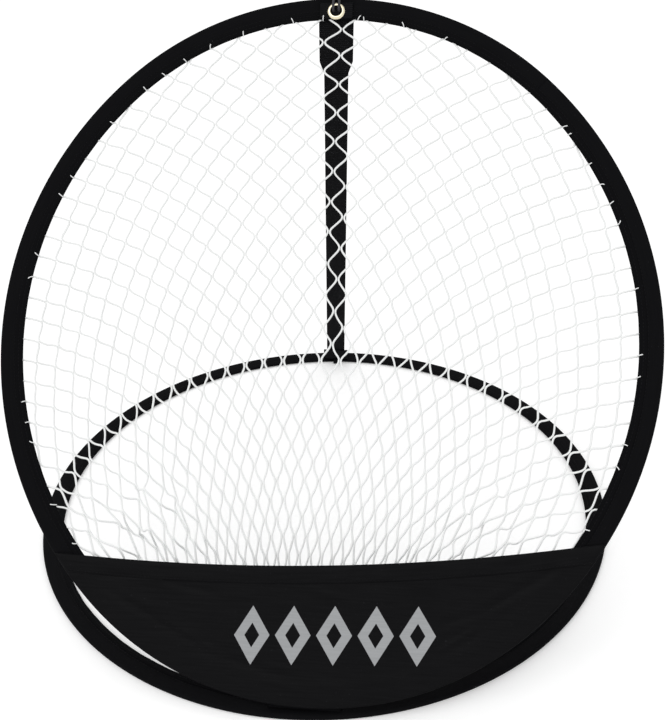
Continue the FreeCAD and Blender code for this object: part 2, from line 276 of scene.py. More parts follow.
def buildLozenges():
    # A row of plain lozenges: 1 inside them, on a coordinate in metres.
    group, source, sink = newGroup(
        "lozengeRow", {"Left": -0.066, "Pitch": 0.036, "Count": 5.0, "Middle": 0.061, "Half Height": 0.025,
                       "Rise": 0.05}, ("Mask",))
    split = group.nodes.new("ShaderNodeSeparateXYZ")
    group.links.new(source.outputs["Coordinate"], split.inputs[0])
    step = mathNode(group, "DIVIDE", mathNode(group, "SUBTRACT", split.outputs["X"], source.outputs["Left"]),
                    source.outputs["Pitch"])
    sideways = mathNode(group, "ABSOLUTE", mathNode(group, "SUBTRACT", mathNode(group, "FRACT", step), 0.5))
    rise, middle = source.outputs["Rise"], source.outputs["Middle"]
    risen = mathNode(group, "MULTIPLY_ADD", split.outputs["X"], rise, middle)
    upward = mathNode(group, "ABSOLUTE", mathNode(group, "DIVIDE", mathNode(
        group, "SUBTRACT", split.outputs["Y"], risen), source.outputs["Half Height"]))
    reach = mathNode(group, "ADD", mathNode(group, "MULTIPLY", sideways, 2.3), upward)
    inside = mathNode(group, "LESS_THAN", reach, 1.0)
    core = mathNode(group, "GREATER_THAN", reach, 0.42)
    first = mathNode(group, "GREATER_THAN", step, 0.0)
    final = mathNode(group, "LESS_THAN", step, source.outputs["Count"])
    mask = mathNode(group, "MULTIPLY", mathNode(group, "MULTIPLY", inside, core),
                    mathNode(group, "MULTIPLY", first, final))
    group.links.new(mask, sink.inputs["Mask"])
    return group


def buildWear():
    # Slow patches and fine grain, for metal and cord.
    group, source, sink = newGroup("patchesAndGrain", {"Patch Scale": 40.0, "Grain Scale": 900.0},
                                   ("Patches", "Grain"))
    for label, sourceLabel, detail in (("Patches", "Patch Scale", 3.0), ("Grain", "Grain Scale", 2.0)):
        node = group.nodes.new("ShaderNodeTexNoise")
        node.inputs["Detail"].default_value = detail
        group.links.new(source.outputs["Coordinate"], node.inputs["Vector"])
        group.links.new(source.outputs[sourceLabel], node.inputs["Scale"])
        group.links.new(node.outputs["Fac"], sink.inputs[label])
    return group


weaveGroup = buildWeave()
lozengeGroup = buildLozenges()
wearGroup = buildWear()


def newMaterial(name, **constants):
    material = bpy.data.materials.new(name)
    material.use_nodes = True
    tree = material.node_tree
    shader = tree.nodes["Principled BSDF"]
    for label, value in constants.items():
        shader.inputs[label.replace("_", " ")].default_value = value
    return material, tree, shader


def placeGroup(tree, group, coordinate, **values):
    node = tree.nodes.new("ShaderNodeGroup")
    node.node_tree = group
    tree.links.new(coordinate, node.inputs["Coordinate"])
    for label, value in values.items():
        node.inputs[label.replace("_", " ")].default_value = value
    return node


def mixColours(tree, factor, first, second):
    node = tree.nodes.new("ShaderNodeMix")
    node.data_type = "RGBA"
    tree.links.new(factor, node.inputs["Factor"])
    for socket, colour in ((node.inputs[6], first), (node.inputs[7], second)):
        if isinstance(colour, tuple):
            socket.default_value = (*colour, 1)
        else:
            tree.links.new(colour, socket)
    return node.outputs[2]


def addBump(tree, shader, height, distance, strength=1.0):
    bump = tree.nodes.new("ShaderNodeBump")
    bump.inputs["Distance"].default_value = distance
    bump.inputs["Strength"].default_value = strength
    tree.links.new(height, bump.inputs["Height"])
    tree.links.new(bump.outputs["Normal"], shader.inputs["Normal"])


def clothMaterial(name, dark, pale, threads, slubAndSheen, rough, specular, depth, printed=False):
    material, tree, shader = newMaterial(name, Specular_IOR_Level=specular)
    chart = tree.nodes.new("ShaderNodeUVMap")
    chart.uv_map = "cloth"
    weave = placeGroup(tree, weaveGroup, chart.outputs["UV"], Threads=threads, Slub=slubAndSheen)
    # The weave's shade mixes the colour; its slub streaks are paler partly as painted sheen.
    colour = mixColours(tree, weave.outputs["Shade"], dark, pale)
    colour = mixColours(tree, weave.outputs["Lint"], colour, (0.022, 0.022, 0.025))
    roughness = mathNode(tree, "MULTIPLY_ADD", weave.outputs["Shade"], -0.12, rough)
    if printed:
        row = placeGroup(tree, lozengeGroup, chart.outputs["UV"])
        ink = mathNode(tree, "MULTIPLY", row.outputs["Mask"], mathNode(
            tree, "MULTIPLY_ADD", weave.outputs["Shade"], -0.25, 1.0))
        colour = mixColours(tree, ink, colour, (0.42, 0.43, 0.44))
        roughness = mathNode(tree, "MULTIPLY_ADD", row.outputs["Mask"], -0.15, roughness)
    tree.links.new(colour, shader.inputs["Base Color"])
    tree.links.new(roughness, shader.inputs["Roughness"])
    addBump(tree, shader, weave.outputs["Height"], depth)
    return material


black = {"dark": (0.003, 0.003, 0.0035), "pale": (0.007, 0.007, 0.008), "specular": 0.03}
sleeveCloth = clothMaterial("sleeveCloth", threads=1700, slubAndSheen=0.5, rough=0.8, depth=0.00008, **black)
bindingTape = clothMaterial("bindingTape", threads=1300, slubAndSheen=0.3, rough=0.85, depth=0.0001, **black)
apronCloth = clothMaterial("apronCloth", (0.0012, 0.0012, 0.0015), (0.0065, 0.0065, 0.0072), threads=1900,
                           slubAndSheen=1.0, rough=0.5, specular=0.04, depth=0.00006, printed=True)


def webbingMaterial():
    # Cross ribs with a fine lengthwise thread; UV runs along the webbing, then across it.
    material, tree, shader = newMaterial("webbing", Specular_IOR_Level=0.06)
    chart = tree.nodes.new("ShaderNodeUVMap")
    chart.uv_map = "cloth"
    split = tree.nodes.new("ShaderNodeSeparateXYZ")
    tree.links.new(chart.outputs["UV"], split.inputs[0])
    ribs = mathNode(tree, "SINE", mathNode(tree, "MULTIPLY", split.outputs["X"], 2 * math.pi / 0.0021))
    threads = mathNode(tree, "SINE", mathNode(tree, "MULTIPLY", split.outputs["Y"], 2 * math.pi / 0.0011))
    height = mathNode(tree, "ADD", mathNode(tree, "MULTIPLY_ADD", ribs, 0.5, 0.5),
                      mathNode(tree, "MULTIPLY", threads, 0.22))
    uneven = noiseNode(tree, chart.outputs["UV"], 300.0, 3.0)
    shade = mathNode(tree, "MULTIPLY", height, uneven)
    colour = mixColours(tree, shade, black["dark"], (0.013, 0.013, 0.015))
    tree.links.new(colour, shader.inputs["Base Color"])
    tree.links.new(mathNode(tree, "MULTIPLY_ADD", shade, -0.2, 0.8), shader.inputs["Roughness"])
    addBump(tree, shader, height, 0.0003)
    return material


def cordMaterial(name, dark, pale, twist, rough, specular, depth):
    # Twisted or braided cord, on object coordinates.
    material, tree, shader = newMaterial(name, Specular_IOR_Level=specular)
    place = tree.nodes.new("ShaderNodeTexCoord").outputs["Object"]
    wear = placeGroup(tree, wearGroup, place, Patch_Scale=35.0, Grain_Scale=twist)
    shade = mathNode(tree, "MULTIPLY_ADD", wear.outputs["Patches"], 0.5, mathNode(
        tree, "MULTIPLY", wear.outputs["Grain"], 0.5))
    tree.links.new(mixColours(tree, shade, dark, pale), shader.inputs["Base Color"])
    roughness = mathNode(tree, "MULTIPLY_ADD", wear.outputs["Grain"], 0.2, rough)
    tree.links.new(roughness, shader.inputs["Roughness"])
    addBump(tree, shader, wear.outputs["Grain"], depth)
    return material


def metalMaterial(name, dark, pale, rough, depth=0.00002):
    material, tree, shader = newMaterial(name, Metallic=1.0)
    place = tree.nodes.new("ShaderNodeTexCoord").outputs["Object"]
    wear = placeGroup(tree, wearGroup, place, Patch_Scale=260.0, Grain_Scale=2600.0)
    tree.links.new(mixColours(tree, wear.outputs["Patches"], dark, pale), shader.inputs["Base Color"])
    roughness = mathNode(tree, "MULTIPLY_ADD", wear.outputs["Grain"], 0.16, rough)
    tree.links.new(roughness, shader.inputs["Roughness"])
    addBump(tree, shader, wear.outputs["Patches"], depth)
    return material


webbing = webbingMaterial()
netCord = cordMaterial("netCord", (0.86, 0.87, 0.87), (0.96, 0.97, 0.96), twist=1400.0, rough=0.5,
                       specular=0.3, depth=0.00012)
elasticCord = cordMaterial("elasticCord", (0.012, 0.012, 0.014), (0.05, 0.05, 0.055), twist=1600.0, rough=0.5,
                           specular=0.4, depth=0.0002)
blackThread = cordMaterial("blackThread", (0.004, 0.004, 0.005), (0.011, 0.011, 0.012), twist=2400.0,
                           rough=0.6, specular=0.08, depth=0.0001)
brass = metalMaterial("paleBrass", (0.74, 0.66, 0.46), (0.9, 0.84, 0.66), rough=0.2)
springSteel = metalMaterial("springSteel", (0.3, 0.31, 0.34), (0.5, 0.51, 0.54), rough=0.3)
zincSteel = metalMaterial("zincSteel", (0.6, 0.6, 0.62), (0.75, 0.75, 0.77), rough=0.35)
print("materials made")


def finishPiece(piece, material, slotName, body=None, *nodes):
    setMaterial(piece, material)
    if nodes:
        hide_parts(*nodes)
    if body:
        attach(piece, body)
    return piece


# Sleeves and bindings
sleeve = {"upper": [(0.12, 0.9), (0.5, 1.75), (1.2, 2.45), (2.3, 2.78), (4.2, 2.8), (6.5, 2.68), (9.0, 2.4),
                    (11.5, 2.12), (13.0, 1.8), (13.7, 1.6), (14.5, 1.7), (17.5, 1.4), (20.9, 1.0)],
          "steps": 176, "pucker": 0.00022, "wave": 0.0002}
binding = {"outer": [(14.5, 1.86), (14.75, 2.26), (15.6, 2.28), (17.2, 2.08), (17.9, 1.86), (18.6, 1.9),
                     (20.2, 1.62), (21.2, 1.3), (21.5, 0.6)],
           "inner": [(20.96, -1.02), (20.96, 1.02)], "wave": 0.00035}


def millimetres(points, side=1):
    return [(inset / 1000, side * height / 1000) for inset, height in points]


def puckerBand(bm, arcs, seed, waver, floor=None):
    # Cloth gathered by its stitches, pulled in between them.
    whole = bandLength(arcs)
    for vertex in bm.verts:
        along, inset, out = alongBand(vertex.co, arcs)
        turnAngle = 2 * math.pi * along / whole
        loopPoint = Vector((math.cos(turnAngle), math.sin(turnAngle), 0)) * whole / (2 * math.pi)
        slow = noise.noise(loopPoint * 22 + Vector((0, 0, seed)))
        quick = noise.noise(loopPoint * 95 + Vector((0, 0, seed + 3)))
        share = clamped((inset - 0.003) / 0.009)
        side = 1 if vertex.co.z > 0 else -1
        push = sleeve["pucker"] * share * (1.2 * slow + quick)
        if abs(vertex.co.z) > 0.0004:
            vertex.co.z += push + side * 0.4 * sleeve["pucker"] * share * quick
        edge = clamped((inset - 0.012) / 0.009)
        vertex.co -= out * waver * edge * (slow + 0.5 * quick)
        if floor is not None and vertex.co.z < floor:
            vertex.co.z = floor


def pressUnderPatch(bm, height):
    # The cloth is pressed flat where the eyelet's patch lies on it.
    for vertex in bm.verts:
        point = vertex.co
        if point.y < hoop["length"] - 0.03 or point.z < height:
            continue
        aside = clamped((0.0235 - abs(point.x)) / 0.007)
        below = clamped((hoop["length"] - point.y - 0.0015) / 0.004)
        point.z += (height - point.z) * aside * below


def makeBand(name, node, outline, arcs, seed, place, material, slotName, body, waver,
             floor=None, press=None, wall=None):
    bm = spinBand(outline, arcs, sleeve["steps"], wall is None)
    bandCoordinates(bm, arcs)
    puckerBand(bm, arcs, seed, waver, floor)
    if press is not None:
        pressUnderPatch(bm, press)
    piece = makePiece(name, bm, place)
    if wall is not None:
        addWall(piece, wall, -1)
    return finishPiece(piece, material, slotName, body, node)


sleeveOutline = millimetres(sleeve["upper"][::-1]) + [(0, 0)] + millimetres(sleeve["upper"], -1)
tapeOutline = (millimetres(binding["outer"]) + millimetres(binding["outer"][::-1], -1)
               + millimetres(binding["inner"]))

for name, node, arcs, seed, place, body, floor, press, tapePress in (
        ("groundRing", "ground_ring_", ringArcs, 1.5, ringPlace, "base", -groundRing["middle"], None, None),
        ("targetHoop", "target_hoop_", hoopArcs, 7.5, hoopPlace, "hoop", None, 0.0006, 0.00077)):
    casing = makeBand(name + "Sleeve", node + "sleeve", sleeveOutline, arcs, seed, place, sleeveCloth,
                      "sleeve_cloth", body, sleeve["wave"], floor, press, wall=0.0005)
    tape = makeBand(name + "Binding", node + "binding", tapeOutline, arcs, seed, place, bindingTape,
                    "binding_tape", body, binding["wave"], floor, tapePress)
print("sleeves and bindings made")

# Pieces inside the sleeves keep their solids
for node, steel in (("ground_ring_spring", springSteel), ("target_hoop_spring", springSteel),
                    ("ground_ring_ferrule", zincSteel), ("target_hoop_ferrule", zincSteel)):
    setMaterial(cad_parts[node], steel)


# Stitches
def bandPath(arcs, inset, height):
    # A smooth closed path round a band.
    curve = newCurve("stitchPath", twist_mode="Z_UP", resolution_u=32)
    quarters = [(centre, radius, start + 90 * turn) for centre, radius, start, sweep in arcs
                for turn in range(sweep // 90)]
    spline = curve.splines.new("BEZIER")
    spline.bezier_points.add(len(quarters) - 1)
    spline.use_cyclic_u = True
    for index, (centre, radius, start) in enumerate(quarters):
        bearing = math.radians(start)
        out = Vector((math.cos(bearing), math.sin(bearing), 0))
        ahead = Vector((-out.y, out.x, 0))
        point = spline.bezier_points[index]
        point.co = centre + out * (radius - inset) + Vector((0, 0, height))
        point.handle_left_type = point.handle_right_type = "FREE"
        point.handle_right = point.co + ahead * 0.5523 * (radius - inset)
        point.handle_left = point.co - ahead * 0.5523 * (quarters[index - 1][1] - inset)
    return curve


def sewAlong(name, curve, length, place, material, slotName, body, pitch=0.0034, width=0.00028):
    # A row of stitches: one long stitch, repeated and bent along a path.
    bm = bmesh.new()
    bmesh.ops.create_uvsphere(bm, u_segments=6, v_segments=4, radius=1)
    bmesh.ops.scale(bm, vec=(pitch * 0.4, width, width * 0.6), verts=bm.verts)
    bmesh.ops.translate(bm, vec=(pitch / 2, 0, 0), verts=bm.verts)
    row = makePiece(name, bm)
    path = addObject(name + "Path", curve)
    repeat = row.modifiers.new("repeat", "ARRAY")
    repeat.count = int(length / pitch)
    repeat.use_relative_offset = False
    repeat.use_constant_offset = True
    repeat.constant_offset_displace = (length / int(length / pitch), 0, 0)
    follow = row.modifiers.new("follow", "CURVE")
    follow.object = path
    sewn = bakedMesh(row)
    sewn.transform(place)
    sewn.polygons.foreach_set("use_smooth", [True] * len(sewn.polygons))
    row.modifiers.clear()
    row.data = sewn
    bpy.data.objects.remove(path)
    return finishPiece(row, material, slotName, body)


for name, arcs, place, body in (("groundRing", ringArcs, ringPlace, "base"),
                                ("targetHoop", hoopArcs, hoopPlace, "hoop")):
    for label, inset, height in (("Seam", 0.0137, 0.0017), ("BindingSeam", 0.0179, 0.00195)):
        for side, sign in (("Front", 1), ("Back", -1)):
            length = bandLength(arcs) - 2 * math.pi * inset
            sewAlong(name + label + side, bandPath(arcs, inset, sign * height), length, place,
                     blackThread, "sleeve_cloth", body)
print("stitches made")

# Apron
apron = {"leftHeight": 0.118, "rightHeight": 0.146, "sag": 0.012, "edge": 0.0015, "thick": 0.0008,
         "columns": 230, "rows": 64,
         "creases": [  # from, to, half width, height
             ((-0.185, 0.092), (-0.085, 0.043), 0.0035, -0.0022),
             ((-0.085, 0.043), (-0.004, 0.021), 0.004, -0.0016),
             ((-0.140, 0.0716), (-0.070, 0.038), 0.003, 0.0014),
             ((0.213, 0.128), (0.149, 0.088), 0.004, -0.002),
             ((0.149, 0.088), (0.113, 0.076), 0.004, -0.0014),
             ((0.146, 0.0745), (0.1135, 0.0537), 0.003, 0.0016),
             ((-0.193, 0.102), (-0.1285, 0.105), 0.0025, -0.001),
             ((-0.132, 0.1004), (-0.081, 0.0917), 0.003, -0.0012),
             ((-0.008, 0.104), (0.045, 0.089), 0.004, 0.0009),
             ((0.19, 0.06), (0.135, 0.03), 0.004, 0.001)]}
netHalf = (hoop["width"] / 2 - band["width"], hoopMiddle - band["width"])


def sleeveReach(height):
    return netHalf[0] * math.sqrt(1 - ((height - hoopMiddle) / netHalf[1]) ** 2)


def circleThrough(a, b, c):
    d = 2 * (a.x * (b.y - c.y) + b.x * (c.y - a.y) + c.x * (a.y - b.y))
    aa, bb, cc = a.length_squared, b.length_squared, c.length_squared
    centre = Vector(((aa * (b.y - c.y) + bb * (c.y - a.y) + cc * (a.y - b.y)) / d,
                     (aa * (c.x - b.x) + bb * (a.x - c.x) + cc * (b.x - a.x)) / d))
    return centre, (a - centre).length


leftCorner = Vector((-sleeveReach(apron["leftHeight"]), apron["leftHeight"]))
rightCorner = Vector((sleeveReach(apron["rightHeight"]), apron["rightHeight"]))
hemMiddle = (leftCorner + rightCorner) / 2 - Vector((0, apron["sag"]))
hemCentre, hemRadius = circleThrough(leftCorner, hemMiddle, rightCorner)


def hemHeight(x):
    return hemCentre.y - math.sqrt(hemRadius ** 2 - (x - hemCentre.x) ** 2)


def footHeight(x, inset):
    # The hoop's lower outline at a distance inside its outer edge.
    radius = endRadius - inset
    if abs(x) < radius * math.sqrt(0.5):
        return hoopMiddle - ovalShift - math.sqrt(radius ** 2 - x ** 2)
    radius = sideRadius - inset
    return hoopMiddle - math.sqrt(max(0, radius ** 2 - (abs(x) + ovalShift) ** 2))


def cornerOf(side):
    outer = side * (hoop["width"] / 2 - apron["edge"] - 0.0005)
    return lastWhere(lambda x: hemHeight(x) > footHeight(x, apron["edge"]), 0.0, outer)


apronEnds = (cornerOf(-1), cornerOf(1))


def creaseHeight(x, y):
    total = 0
    point = Vector((x, y))
    for start, end, halfWidth, height in apron["creases"]:
        start, end = Vector(start), Vector(end)
        line = end - start
        share = (point - start).dot(line) / line.length_squared
        nearest = start + line * clamped(share)
        away = (point - nearest).length
        fade = clamped(1.15 - (2 * share - 1) ** 2)
        ridge = math.exp(-(away / halfWidth) ** 2)
        total += height * fade * (ridge - 0.45 * math.exp(-(away / (2.4 * halfWidth)) ** 2))
    return total


def apronDepth(x, y):
    # The cloth's height over the hoop's plane: on the sleeve at its edge, slack and creased between.
    inset = alongBand(Vector((x, y, 0)), hoopArcs)[1]
    onSleeve = 1 / (1 + math.exp((inset - 0.022) / 0.0022))
    rounded = 0.0006 * max(0, 1 - inset / 0.004) ** 2
    slack = 0.0004 * noise.noise(Vector((x * 14, y * 22, 3.1)))
    slack += 0.0002 * noise.noise(Vector((x * 50, y * 75, 8.2)))
    free = clamped((inset - 0.012) / 0.03)
    return 0.0022 + 0.0009 * onSleeve - rounded + (creaseHeight(x, y) + slack) * (0.25 + 0.75 * free)


def makeApron():
    bm = newGrid(apron["columns"], apron["rows"])
    for vertex in bm.verts:
        x = apronEnds[0] + (apronEnds[1] - apronEnds[0]) * (vertex.co.x + 0.5)
        low = footHeight(x, apron["edge"])
        y = low + (hemHeight(x) - low) * (vertex.co.y + 0.5)
        vertex.co = (x, y, apronDepth(x, y))
    bmesh.ops.remove_doubles(bm, verts=bm.verts, dist=1e-5)
    layChart(bm, lambda vertex: vertex.co.xy)
    panel = makePiece("apronPanel", bm, hoopPlace)
    addWall(panel, apron["thick"], 1)
    return finishPiece(panel, apronCloth, "apron_cloth", "hoop", "apron")


def makeHem():
    # The top edge folded to the front, with a soft roll at the fold.
    fold = [(-0.004, -0.0012), (-0.0008, -0.0011), (0.0004, -0.0003), (0.0006, 0.0007), (0.0, 0.0015),
            (-0.0015, 0.0019), (-0.005, 0.0019), (-0.009, 0.00185), (-0.012, 0.0018), (-0.0136, 0.0017),
            (-0.0145, 0.0013)]
    bm = newGrid(apron["columns"], len(fold) - 1)
    ends = apronEnds[1] - apronEnds[0] - 0.004
    drops = {}
    for vertex in bm.verts:
        x = apronEnds[0] + 0.002 + ends * (vertex.co.x + 0.5)
        drop, lift = fold[round((vertex.co.y + 0.5) * (len(fold) - 1))]
        room = max(0.0, hemHeight(x) - footHeight(x, apron["edge"]) - 0.001)
        drop = max(drop, -room)
        y = hemHeight(x) + drop
        tuck = 0.00025 * noise.noise(Vector((x * 130, drop * 60, 5.5)))
        vertex.co = (x, y, apronDepth(x, min(y, hemHeight(x))) + lift * 0.8 + tuck)
        drops[vertex] = drop
    layChart(bm, lambda vertex: (vertex.co.x, 0.2 + drops[vertex]))
    hem = makePiece("apronHem", bm, hoopPlace)
    addWall(hem, 0.0006, 0)
    return finishPiece(hem, apronCloth, "apron_cloth", "hoop")


def hemPath(drop, lift):
    # The hem's stitch line, as a curve that follows the hem's arc.
    curve = newCurve("hemPath", twist_mode="Z_UP", resolution_u=24)
    points = []
    for index in range(17):
        x = apronEnds[0] + 0.012 + (apronEnds[1] - apronEnds[0] - 0.024) * index / 16
        y = hemHeight(x) - drop
        points.append((x, y, apronDepth(x, y) + lift))
    spline = curve.splines.new("BEZIER")
    spline.bezier_points.add(len(points) - 1)
    for point, place in zip(spline.bezier_points, points):
        point.co = place
        point.handle_left_type = point.handle_right_type = "AUTO"
    return curve, spline.calc_length()


apronPanel = makeApron()
apronHem = makeHem()
hemCurve, hemLength = hemPath(0.0128, 0.0023)
hemStitches = sewAlong("apronHemStitches", hemCurve, hemLength, hoopPlace, blackThread, "apron_cloth", "hoop")

# Netting. Columns stand a gap apart, which widens by the fan with each half row up. The strap's column leans,
# and the outer columns are drawn in. Half rows start above the hoop's middle, come closer upwards, and bow
# down towards the sides, more so the higher they are.
net = {"bar": 0.01915, "cord": 0.00095, "joined": 0.0021, "reach": 36, "depth": 0.036, "edge": 0.0196,
       "columnGap": 0.0120, "fan": 0.00036, "lean": 0.00045, "drawnIn": 0.0000014,
       "start": 0.103, "rowGap": 0.0149, "closing": 0.000064, "bow": 0.000173, "bowGrowth": 0.0000057,
       "slack": 0.35, "mostSlack": 0.003, "stir": 0.0004, "crumple": 0.0042, "folded": 0.02, "behind": 0.0015,
       "bunchedColumns": (15, 22), "bunchedRows": (9, 14)}
tuft = {"share": 0.45, "overHem": 0.006, "aside": 0.0035, "tip": (-0.0004, 0.0014), "thinness": 0.5}
netDown = hoopPlace.to_3x3().inverted() @ Vector((0, 0, -1))


def inHoop(point, inset):
    return alongBand(point, hoopArcs)[1] > inset


def netPlace(column, half):
    x = column * (net["columnGap"] + net["fan"] * half) + net["lean"] * half - net["drawnIn"] * column ** 3
    y = (net["start"] + net["rowGap"] * half - net["closing"] * half ** 2
         - (net["bow"] + net["bowGrowth"] * half) * column ** 2)
    place = Vector((x, hoopMiddle + y, 0))
    full = 1 - (place.x / netHalf[0]) ** 2 - ((place.y - hoopMiddle) / netHalf[1]) ** 2
    place.z = -net["depth"] * max(0, full) * (1 - 0.5 * (place.y - hoopMiddle) / netHalf[1])
    return place


def slacken(start, end, length):
    # A bar longer than the way between its ends hangs down and a little to one side.
    chord = end - start
    spare = math.sqrt(max(0.0, length ** 2 - chord.length_squared)) / 2
    way = netDown + Vector([random.uniform(-0.7, 0.7) for axis in range(3)])
    way -= way.project(chord)
    middle = (start + end) / 2 + way.normalized() * min(net["mostSlack"], spare * net["slack"])
    middle.z = min(middle.z, -net["behind"])
    return middle


def crumpled(column, half):
    # The netting is bunched where the hoop narrows to the apron's corners.
    amount = 1
    for place, (first, last) in ((abs(column), net["bunchedColumns"]), (-half, net["bunchedRows"])):
        amount *= clamped((place - first) / (last - first))
    return amount


def layNet():
    # Joints, the middles of the bars between them, and the ends caught in the binding.
    joints = {}
    for column in range(-net["reach"], net["reach"] + 1):
        for half in range(-net["reach"], net["reach"] + 1):
            place = netPlace(column, half)
            if (column + half) % 2 or not inHoop(place, net["edge"]):
                continue
            reach = net["stir"]
            if place.y > hemHeight(place.x):
                reach += net["crumple"] * crumpled(column, half)
            place += Vector((random.uniform(-1, 1), random.uniform(-1, 1), 2 * random.uniform(-1, 1))) * reach
            place.z = min(place.z, -net["behind"])
            joints[(column, half)] = place
    places = dict(joints)
    for (column, half), place in joints.items():
        for across in (-1, 1):
            for up in (-1, 1):
                other = (column + across, half + up)
                key = (column, half, *other)
                if other not in joints:
                    far = netPlace(*other)
                    share = lastWhere(lambda share: inHoop(place.lerp(far, share), net["edge"]), 0.0, 1.0, 24)
                    places[key] = place.lerp(far, share)
                    places[key].z = 0
                elif up == 1:
                    places[key] = slacken(place, joints[other], net["bar"])
    return joints, places


def layStrands(joints, places):
    # Zigzag strands between neighbouring columns; two lie side by side at each joint.
    curve = newCurve("netStrands", bevel_depth=net["cord"], bevel_resolution=1, resolution_u=2,
                     use_fill_caps=True)

    def columnWay(key):
        # Which way a joint's two cords run, from the bars above and below it.
        way = Vector((0, 0, 0))
        for up in (1, -1):
            for across in (-1, 1):
                other = (key[0] + across, key[1] + up)
                middle = places.get(key + other, places.get(other + key))
                way += up * (middle - places[key])
        return way.normalized()

    count = 0
    for column in range(-net["reach"] - 1, net["reach"] + 1):
        run = []
        for half in range(-net["reach"] - 1, net["reach"] + 2):
            side = 1 if (column + half) % 2 == 0 else -1
            key = (column if side == 1 else column + 1, half)
            if key not in joints:
                continue
            above = (key[0] + side, half + 1)
            if not run:
                run.append(places[key + (key[0] + side, half - 1)])
            way = columnWay(key)
            out = Vector((way.y, -way.x, 0)).normalized() * side * net["cord"] * 0.98
            run += [places[key] + out - way * net["joined"], places[key] + out + way * net["joined"],
                    places[key + above]]
            if above not in joints:
                laySpline(curve, run, [random.uniform(0.94, 1.06) for place in run])
                count += 1
                run = []
    for key, place in places.items():
        if len(key) == 2 or key[2:] in joints or random.random() > tuft["share"]:
            continue
        if place.y < hemHeight(place.x) + tuft["overHem"]:
            continue
        out = alongBand(place, hoopArcs)[2]
        aside = Vector((-out.y, out.x, 0)) * random.uniform(-tuft["aside"], tuft["aside"])
        tip = random.uniform(*tuft["tip"])
        way = [place - out * 0.003, place - out * 0.0015 + aside * 0.3 + Vector((0, 0, 0.0026)),
               place + out * tip * 0.5 + aside * 0.8 + Vector((0, 0, 0.0034)),
               place + out * tip + aside + Vector((0, 0, 0.0031))]
        laySpline(curve, way, [tuft["thinness"]] * len(way))
    strands = addObject("netStrandsCurve", curve)
    bm = bmesh.new()
    bm.from_mesh(bakedMesh(strands))
    bpy.data.objects.remove(strands)
    bmesh.ops.remove_doubles(bm, verts=bm.verts, dist=1e-6)
    print("net strands", count, "faces", len(bm.faces))
    return makePiece("netting", bm, hoopPlace)


netJoints, netPlaces = layNet()
netting = layStrands(netJoints, netPlaces)
finishPiece(netting, netCord, "net_cord", "hoop", "net")
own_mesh(netting)
# A net is mostly holes, so its area is counted as its cords' cover and not as the cut's outline. They cover
# about 0.28 of the cut. The measuring takes no less than 0.3, so that lowest value stands here.
cover = sum(face.area for face in netting.data.polygons) / 2
print("net made, joints", len(netJoints), "cover", round(cover, 4))

# Strap, tabs and patch
strap = {"width": 0.025, "thick": 0.0015, "tabWidth": 0.034, "tabThick": 0.0016, "tabDrop": 0.056,
         "taper": 0.014, "tabRise": 0.022, "tailWidth": 0.0065, "topInset": 0.0015, "bendDrop": 0.002,
         "clear": 0.00075}


def halfSleeve(inset):
    # Half the CAD sleeve's thickness at an inset: even at first, then thinner towards the seam.
    share = max(0, inset - band["evenTo"]) / (band["seam"] - band["evenTo"])
    return band["half"] + share * (band["seamHalf"] - band["half"])


def onRingTop(inset, lift):
    height = groundRing["middle"] + halfSleeve(inset) + strap["clear"] + lift
    return Vector((0, groundRing["radius"] - inset, height))


tabMiddle = -band["half"] - strap["tabThick"] / 2
topEnd = hoopPlace @ Vector((0, hoop["length"] - strap["topInset"], tabMiddle))
topBend = hoopPlace @ Vector((0, hoop["length"] - band["width"] - strap["bendDrop"], tabMiddle))
bottomEnd = onRingTop(0.006, strap["tabThick"] / 2)
bottomBend = onRingTop(band["seam"], strap["tabThick"] / 2)
strapRun = (bottomBend - topBend).normalized()


def layRibbon(name, points, widths, thick, step=0.0025, bulge=0.0, start=0.0):
    # Webbing along a path of straight runs with soft corners; UV runs along it and across it.
    stations = [(points[0], widths[0], start)]
    travelled = start
    for near, far, width, nextWidth in zip(points, points[1:], widths, widths[1:]):
        leg = far - near
        parts = max(1, int(leg.length / step))
        for part in range(1, parts + 1):
            share = part / parts
            stations.append((near + leg * share, width + (nextWidth - width) * share,
                             travelled + leg.length * share))
        travelled += leg.length
    centres = [station[0] for station in stations]
    for smoothing in range(3):
        smooth = [(a + b * 2 + c) / 4 for a, b, c in zip(centres, centres[1:], centres[2:])]
        centres = [centres[0], *smooth, centres[-1]]
    bm = newGrid(len(stations) - 1, 9)
    marks = {}
    for vertex in bm.verts:
        number = round((vertex.co.x + 0.5) * (len(stations) - 1))
        aside = vertex.co.y * 2
        ahead = centres[min(number + 1, len(centres) - 1)] - centres[max(number - 1, 0)]
        normal = acrossHoop.cross(ahead).normalized()
        width = stations[number][1]
        waver = 0.00018 * noise.noise(Vector((stations[number][2] * 60, 2.0 * aside, width * 400)))
        marks[vertex] = (stations[number][2], aside * width / 2)
        vertex.co = (centres[number] + acrossHoop * (aside * width / 2)
                     + normal * (bulge * (1 - aside ** 2) - 0.0003 * aside ** 8 + waver))
    layChart(bm, marks.get)
    bmesh.ops.recalc_face_normals(bm, faces=bm.faces)
    piece = makePiece(name, bm)
    addWall(piece, thick, 0)
    soft = piece.modifiers.new("softEdge", "BEVEL")
    soft.width = thick * 0.3
    soft.segments = 2
    soft.limit_method = "ANGLE"
    soft.angle_limit = math.radians(50)
    return piece


def mitreStep(before, after, distance):
    mitre = (before + after).normalized()
    return mitre * (distance / mitre.dot(after))


layer = (strap["tabThick"] + strap["thick"]) / 2
footRun = (bottomEnd - bottomBend).normalized()
strapBend = bottomBend + mitreStep(acrossHoop.cross(strapRun), acrossHoop.cross(footRun), layer)
strapTop = strapBend - strapRun * ((bottomBend - topBend).length - band["width"])
strapFoot = strapBend + footRun * ((bottomEnd - bottomBend).length - strap["thick"])

